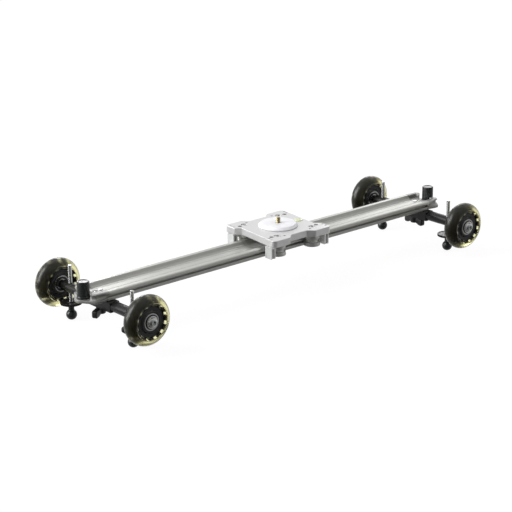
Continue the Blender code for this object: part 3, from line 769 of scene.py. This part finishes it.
# Cast urethane, tinted smoke: a body that soaks up light over a centimetre or two, under a skin
# that is a little frosted.
urethane, tree, shader = finish(
    "cast_urethane_smoke", "ffffff", roughness=0.31, ior=1.5, transmission_weight=1.0
)
sheen(shader, noise(tree, 160.0, 4.0), (0.4, 0.75), (0.29, 0.33))
smoke = add(tree, "ShaderNodeVolumeAbsorption", {"Color": linear("f4ee60"), "Density": 36.0})
tree.links.new(smoke.outputs[0], tree.nodes["Material Output"].inputs["Volume"])
for tag, along, across in CORNERS:
    tyre = piece_of("tyre_ring_" + tag, tyre_mesh, urethane, *wheel_place(along, across))
    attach(tyre, "wheel_" + tag)
    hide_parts("tyre_" + tag)

# Bearings
# Ground steel ball bearings, 22 mm across, two in each wheel, with a black seal moulded between
# the rings.
bearing_mesh = turned(
    "bearing",
    [
        (11.0, 2.6, 0.4),
        (4.0, 2.6, 0.3),
        (4.0, 9.5, 0.3),
        (6.1, 9.5, 0.15),
        (6.2, 9.1, 0),
        (6.6, 9.0, 0.1),
        (8.9, 9.0, 0.1),
        (9.1, 8.8, 0),
        (9.3, 9.1, 0),
        (9.4, 9.5, 0.15),
        (11.0, 9.5, 0.4),
    ],
    72,
    closed=True,
)
# Bearing steel: ground, polished and bright.
ground, tree, shader = finish("bearing_steel_ground", "c4c4c2", metallic=1.0, roughness=0.15)
bearing_mesh.materials.append(ground)
bearing_mesh.materials.append(rubber)
for face in bearing_mesh.polygons:
    on_seal = 6.5 < face.center.xy.length / MM < 9.25 and face.center.z > 8.6 * MM
    face.material_index = int(on_seal)
for tag, along, across in CORNERS:
    for face, outward in (("outer", True), ("inner", False)):
        place = wheel_place(along, across, outward)
        ring = piece_of("race_" + face + "_" + tag, bearing_mesh, ground, *place)
        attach(ring, "wheel_" + tag)
        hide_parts("bearing_" + face + "_" + tag)

# Axle bolts
# Flanged button-head screws of zinc-plated steel, with a 5 mm hexagon socket. Each runs through
# both bearings and into the end of the arm.
axle_mesh = turned(
    "axle_bolt",
    [
        (0, 14.8, 0),
        (3.6, 14.8, 0.6),
        (5.7, 13.6, 2.0),
        (6.6, 11.0, 0.2),
        (8.1, 10.8, 0.2),
        (8.1, 9.8, 0.2),
        (3.7, 9.8, 0),
        (3.7, -24.0, 0.3),
        (0, -24.0, 0),
    ],
)
axle_mesh = shaded(cut(axle_mesh, discs([(0, 0, 2.9, 12.4, 30)], 6)))
for tag, along, across in CORNERS:
    bolt = piece_of("axle_" + tag, axle_mesh, steel, *wheel_place(along, across))
    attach(bolt, "truck_" + tag.split("_")[0])
    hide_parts("axle_bolt_" + tag)

# Levelling legs
# Threaded steel rods that screw down through the arms, each with a knurled nylon disc to turn it
# by and a rubber ball moulded on its foot.
pitch = 0.8
rod_line = [(0, 30.0, 0), (1.9, 30.0, 0.2)]
for ring in range(74):
    top = 29.5 - pitch * ring
    rod_line += [(2.5, top, 0), (2.5, top - 0.46, 0), (2.3, top - 0.63, 0)]
rod_line += [(2.1, -31.0, 0), (0, -31.0, 0)]
rod_mesh = turned("rod", rod_line, 32)
ridges = 72
knurl = []
for step in range(ridges):
    for part, radius in ((0.0, 14.0), (0.35, 14.0), (0.5, 13.5), (0.85, 13.5)):
        knurl.append(rim_point(0, 0, radius, 360 * (step + part) / ridges))
disc_mesh = cut(extruded("grip", knurl, -21.2, -18.2), discs([(0, 0, 2.55, -30, 0)]))
recess = [(4.5, -18.8, 0), (12.0, -18.8, 0), (12.4, -10, 0), (4.1, -10, 0)]
disc_mesh = cut(disc_mesh, turned("recess", recess, 48, closed=True))
disc_mesh = edged(disc_mesh, 0.25, 2, 60)

# The ball runs from its neck down to the small flat that it stands on.
ball_radius = 7.0
ball_middle = -35.7
neck_angle = 90 - math.degrees(math.asin(3.9 / ball_radius))
flat_angle = 90 - 166.3
ball = arc(0, ball_middle, ball_radius, neck_angle, flat_angle, 23)
foot_line = [(2.6, -23.4, 0), (3.7, -23.4, 0.4), (3.7, -29.4, 0.8)]
foot_line += [(*p, 0) for p in ball[1:]]
foot_line += [(0, -42.5, 0), (0, -31.3, 0), (2.6, -31.3, 0)]
foot_mesh = turned("foot", foot_line, 64, closed=True)
for tag, along, across in CORNERS:
    for name, mesh, coat, node, slot in (
        ("rod_", rod_mesh, steel, "leg_rod_", "steel"),
        ("grip_", disc_mesh, nylon, "leg_disc_", "nylon"),
        ("ball_", foot_mesh, rubber, "leg_foot_", "rubber"),
    ):
        piece = piece_of(name + tag, mesh, coat, along * TRUCK_X, across * LEG_Y)
        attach(piece, "leg_" + tag)
        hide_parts(node + tag)

# Carriage plate
# A cast and milled aluminium plate, bead blasted and lacquered silver. It has an ear at each
# corner, shallow bays between them, and holes for the roller bolts and for accessories.
CARRIAGE_X = 15.5
ROLLER_X, ROLLER_Y = 30.5, 33.0
LEVEL_X = 36.5
plate_half = [
    (51.0, 49.0, 5.5),
    (22.5, 49.0, 2.5),
    (14.0, 41.0, 2.5),
    (-14.0, 41.0, 2.5),
    (-22.5, 49.0, 2.5),
    (-51.0, 49.0, 5.5),
    (-51.0, 29.5, 2.5),
    (-43.5, 22.5, 2.5),
]
plate_line = fillet(plate_half + [(-x, -y, r) for x, y, r in plate_half])
plate_mesh = edged(extruded("plate", plate_line, 25.0, 34.3), 0.8, 3, 40)
over_plate = 50
deep = [(0, 0, 3.45, 28, over_plate)]
wide = [(LEVEL_X, 0, 5.8, 30.7, over_plate)]
small = []
for _, along, across in CORNERS:
    small_x = 46.2 if along == across else 48.0
    deep.append((along * ROLLER_X, across * ROLLER_Y, 3.3, 20, over_plate))
    deep.append((along * 39.7, across * 31.5, 3.0, 27.3, over_plate))
    wide.append((along * ROLLER_X, across * ROLLER_Y, 4.7, 31.9, over_plate))
    small.append((along * 22.5, across * 38.0, 1.7, 30.3, over_plate))
    small.append((along * small_x, across * 34.5, 1.5, 31.3, over_plate))
    small.append((along * 48.0, across * 41.0, 1.5, 31.3, over_plate))
for holes, sides in ((deep, 32), (wide, 32), (small, 20)):
    plate_mesh = cut(plate_mesh, discs(holes, sides))
plate_mesh = edged(plate_mesh, 0.25, 2, 40)

# Bead-blasted aluminium under clear lacquer: pale, even, with a fine sparkle.
plate_coat, tree, shader = finish(
    "bead_blasted_aluminium", "e0e0e0", metallic=0.76, roughness=0.38
)
body = add(tree, "ShaderNodeTexCoord").outputs["Object"]
beads = add(tree, "ShaderNodeTexVoronoi", {"Vector": body, "Scale": 2500.0})
sheen(shader, noise(tree, 45.0, 3.0), (0.3, 0.7), (0.32, 0.44))
bumps(shader, beads.outputs[0], 0.2, 0.00003)
plate = piece_of("carriage_top", plate_mesh, plate_coat, CARRIAGE_X)
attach(plate, "carriage")
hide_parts("carriage_plate")

# Rollers
# Turned aluminium rollers with a round groove that fits the rail's rims, one on a ball bearing
# at each of the four bolts.
rim_middle_y = 22.3
rim_middle_z = (RIM_LOW + RIM_HIGH) / 2
groove_middle = ROLLER_Y - rim_middle_y
groove_radius = 2.8
flange = 10.5
steep = math.degrees(math.acos((groove_middle - flange) / groove_radius))
groove = arc(groove_middle, rim_middle_z, groove_radius, 180 - steep, 180 + steep, 16)
roller_line = [(3.3, 24.0, 0.2), (flange, 24.0, 0.7)] + [(*p, 0) for p in groove]
roller_line += [(10.6, 12.9, 0.2), (11.2, 10.6, 0.6), (11.2, 8.9, 0.5)]
roller_line += [(6.4, 8.9, 0.2), (6.2, 9.6, 0.2), (3.3, 9.6, 0.2)]
roller_mesh = turned("roller", roller_line, 72, closed=True)

# Turned aluminium: fine rings round the axis, with a satin sheen.
roller_coat, tree, shader = finish("turned_aluminium", "c8c8c4", metallic=0.8, roughness=0.42)
body = add(tree, "ShaderNodeTexCoord").outputs["Object"]
inputs = {"Vector": body, "Scale": 700.0, "Distortion": 1.0}
rings = add(tree, "ShaderNodeTexWave", inputs, bands_direction="Z").outputs[1]
sheen(shader, rings, (0.0, 1.0), (0.36, 0.48))
bumps(shader, rings, 0.12, 0.00002)
for tag, along, across in CORNERS:
    place = (CARRIAGE_X + along * ROLLER_X, across * ROLLER_Y)
    roller = piece_of("groove_roller_" + tag, roller_mesh, roller_coat, *place)
    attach(roller, "roller_" + tag)
    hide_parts("roller_" + tag)

# Roller bolts
# Button-head screws of zinc-plated steel with a hexagon socket, sunk in the plate.
head_mesh = turned(
    "roller_bolt",
    [
        (0, 34.2, 0),
        (2.6, 34.2, 0.8),
        (4.3, 33.2, 0.6),
        (4.3, 32.2, 0.1),
        (3.0, 32.2, 0),
        (3.0, 9.5, 0.3),
        (0, 9.5, 0),
    ],
    48,
)
head_mesh = shaded(cut(head_mesh, discs([(0, 0, 1.75, 32.6, 50)], 6)))
for tag, along, across in CORNERS:
    place = (CARRIAGE_X + along * ROLLER_X, across * ROLLER_Y, (0, 0, along * 0.7 + across))
    head = piece_of("roller_screw_" + tag, head_mesh, steel, *place)
    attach(head, "carriage")
    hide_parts("roller_bolt_" + tag)

# Corner guards
# Small cast brackets under the ears. A strip of felt is let into the inner and the outer edge of
# each, to wipe the rim of the rail.
guard_line = fillet([(-6.2, 8.5, 1.2), (6.2, 8.5, 1.2), (6.2, 24.7, 0), (-6.2, 24.7, 0)])
guard_mesh = extruded("guard", guard_line, -2.9, 4.3)
for away_from in (-1, 1):
    ends = (away_from * 3.4, away_from * 12)
    guard_mesh = cut(guard_mesh, block("felt_slot", ends, (0, 22.5), (-1.2, 2.6)))
guard_mesh = edged(guard_mesh, 0.15, 2, 40)
guard_mesh.shade_flat()
guard_mesh.transform(LAID_ALONG)
felts = bmesh.new()
for ends in ((-5.6, -3.5), (3.5, 5.6)):
    felts.from_mesh(block("felt", ends, (9.0, 22.3), (0.0, 2.5)))
felt_mesh = edged(meshed("felt", felts), 0.3, 2)
felt_mesh.transform(LAID_ALONG)

# Zinc casting, painted silver-grey: a soft sheen over a fine orange peel.
guard_coat, tree, shader = finish("zinc_casting_painted", "dee0de", metallic=0.3, roughness=0.42)
peel = noise(tree, 1100.0, 2.0)
sheen(shader, peel, (0.3, 0.7), (0.36, 0.48))
bumps(shader, peel, 0.2, 0.00003)

# Wool felt, pressed: mid grey with a fuzzy, matt surface.
felt_coat, tree, shader = finish("pressed_wool_felt", "8c8d8a", roughness=0.95)
fuzz = noise(tree, 2500.0, 5.0)
tinted(shader, fuzz, "787976", "a2a3a0")
bumps(shader, fuzz, 0.7, 0.0002)
guard_x, guard_y = 48.0, 37.8
for tag, along, across in CORNERS:
    flip = Matrix.Diagonal((-along, across, 1, 1))
    for name, mesh, coat in (("guard_", guard_mesh, guard_coat), ("felt_", felt_mesh, felt_coat)):
        own = mesh.copy()
        own.transform(flip)
        if along * across > 0:
            own.flip_normals()
        place = (CARRIAGE_X + along * guard_x, across * guard_y)
        piece = piece_of(name + tag, own, coat, *place)
        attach(piece, "carriage")
        if name == "guard_":
            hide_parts("corner_guard_" + tag)

# Camera mount
# A white acetal disc, turned flat, lies on the plate round the threaded stud that a camera or a
# ball head screws down on.

# Acetal, turned: white, waxy, with very fine turning rings.
acetal, tree, shader = finish("white_acetal", "fbfbff", roughness=0.38, ior=1.48)
body = add(tree, "ShaderNodeTexCoord").outputs["Object"]
inputs = {"Vector": body, "Scale": 450.0, "Distortion": 0.3}
style = dict(wave_type="RINGS", rings_direction="Z")
rings = add(tree, "ShaderNodeTexWave", inputs, **style).outputs[1]
sheen(shader, rings, (0.0, 1.0), (0.33, 0.45))
bumps(shader, rings, 0.2, 0.00003)
disc_line = [
    (3.5, 38.6, 0.3),
    (23.6, 38.6, 0.9),
    (26.3, 35.6, 0.6),
    (26.3, 34.6, 0.2),
    (3.5, 34.6, 0),
]
mount_mesh = turned("mount_pad", disc_line, 128, closed=True)
mount = piece_of("mount_pad", mount_mesh, acetal, CARRIAGE_X)
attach(mount, "carriage")
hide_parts("mount_disc")

# Camera stud
# A quarter-inch stud with twenty threads to the inch, steel with a yellow zinc finish.
pitch = 1.27
stud_line = [(0, 46.0, 0), (2.3, 46.0, 0.3), (2.9, 45.3, 0.1)]
for ring in range(12):
    top = 45.0 - pitch * ring
    stud_line += [(3.17, top - 0.4, 0.05), (2.6, top - 1.0, 0.05)]
stud_line += [(2.6, 28.8, 0), (0, 28.8, 0)]

# Yellow zinc on steel: a warm silver with a patchy bloom.
yellow_zinc, tree, shader = finish("yellow_zinc_steel", "aea27c", metallic=1.0, roughness=0.24)
tinted(shader, noise(tree, 300.0, 3.0), "9a8f68", "bcb394")
stud_mesh = turned("camera_stud", stud_line, 48)
stud = piece_of("camera_stud", stud_mesh, yellow_zinc, CARRIAGE_X)
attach(stud, "carriage")
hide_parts("mount_stud")

# Bubble level
# An acrylic vial let into the plate, filled with a yellow-green spirit, with a black ring to
# centre its bubble in.

# Acrylic over coloured spirit: a pale yellow-green under a glossy coat, with a thin dark ring.
ring_radius, ring_half_width = 0.0026, 0.0002
vial_coat, tree, shader = finish(
    "acrylic_vial", "dfe59a", roughness=0.06, ior=1.49, coat_weight=0.5
)
body = add(tree, "ShaderNodeTexCoord").outputs["Object"]
level_place = add(tree, "ShaderNodeVectorMath", {0: body, 1: (1, 1, 0)}, operation="MULTIPLY")
inputs = {0: level_place.outputs[0]}
from_axis = add(tree, "ShaderNodeVectorMath", inputs, operation="LENGTH").outputs["Value"]
inputs = {0: from_axis, 1: ring_radius, 2: ring_half_width}
ring = add(tree, "ShaderNodeMath", inputs, operation="COMPARE")
tinted(shader, ring.outputs[0], "e8ecb8", "20240c")
vial_line = [(0, 35.5, 0), (3.2, 35.4, 1.0), (5.2, 35.0, 0.4), (5.5, 34.6, 0.1)]
vial_line += [(5.5, 31.0, 0), (0, 31.0, 0)]
vial_mesh = turned("level_vial", vial_line, 64)
vial = piece_of("level_vial", vial_mesh, vial_coat, CARRIAGE_X + LEVEL_X)
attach(vial, "carriage")
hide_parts("bubble_level")
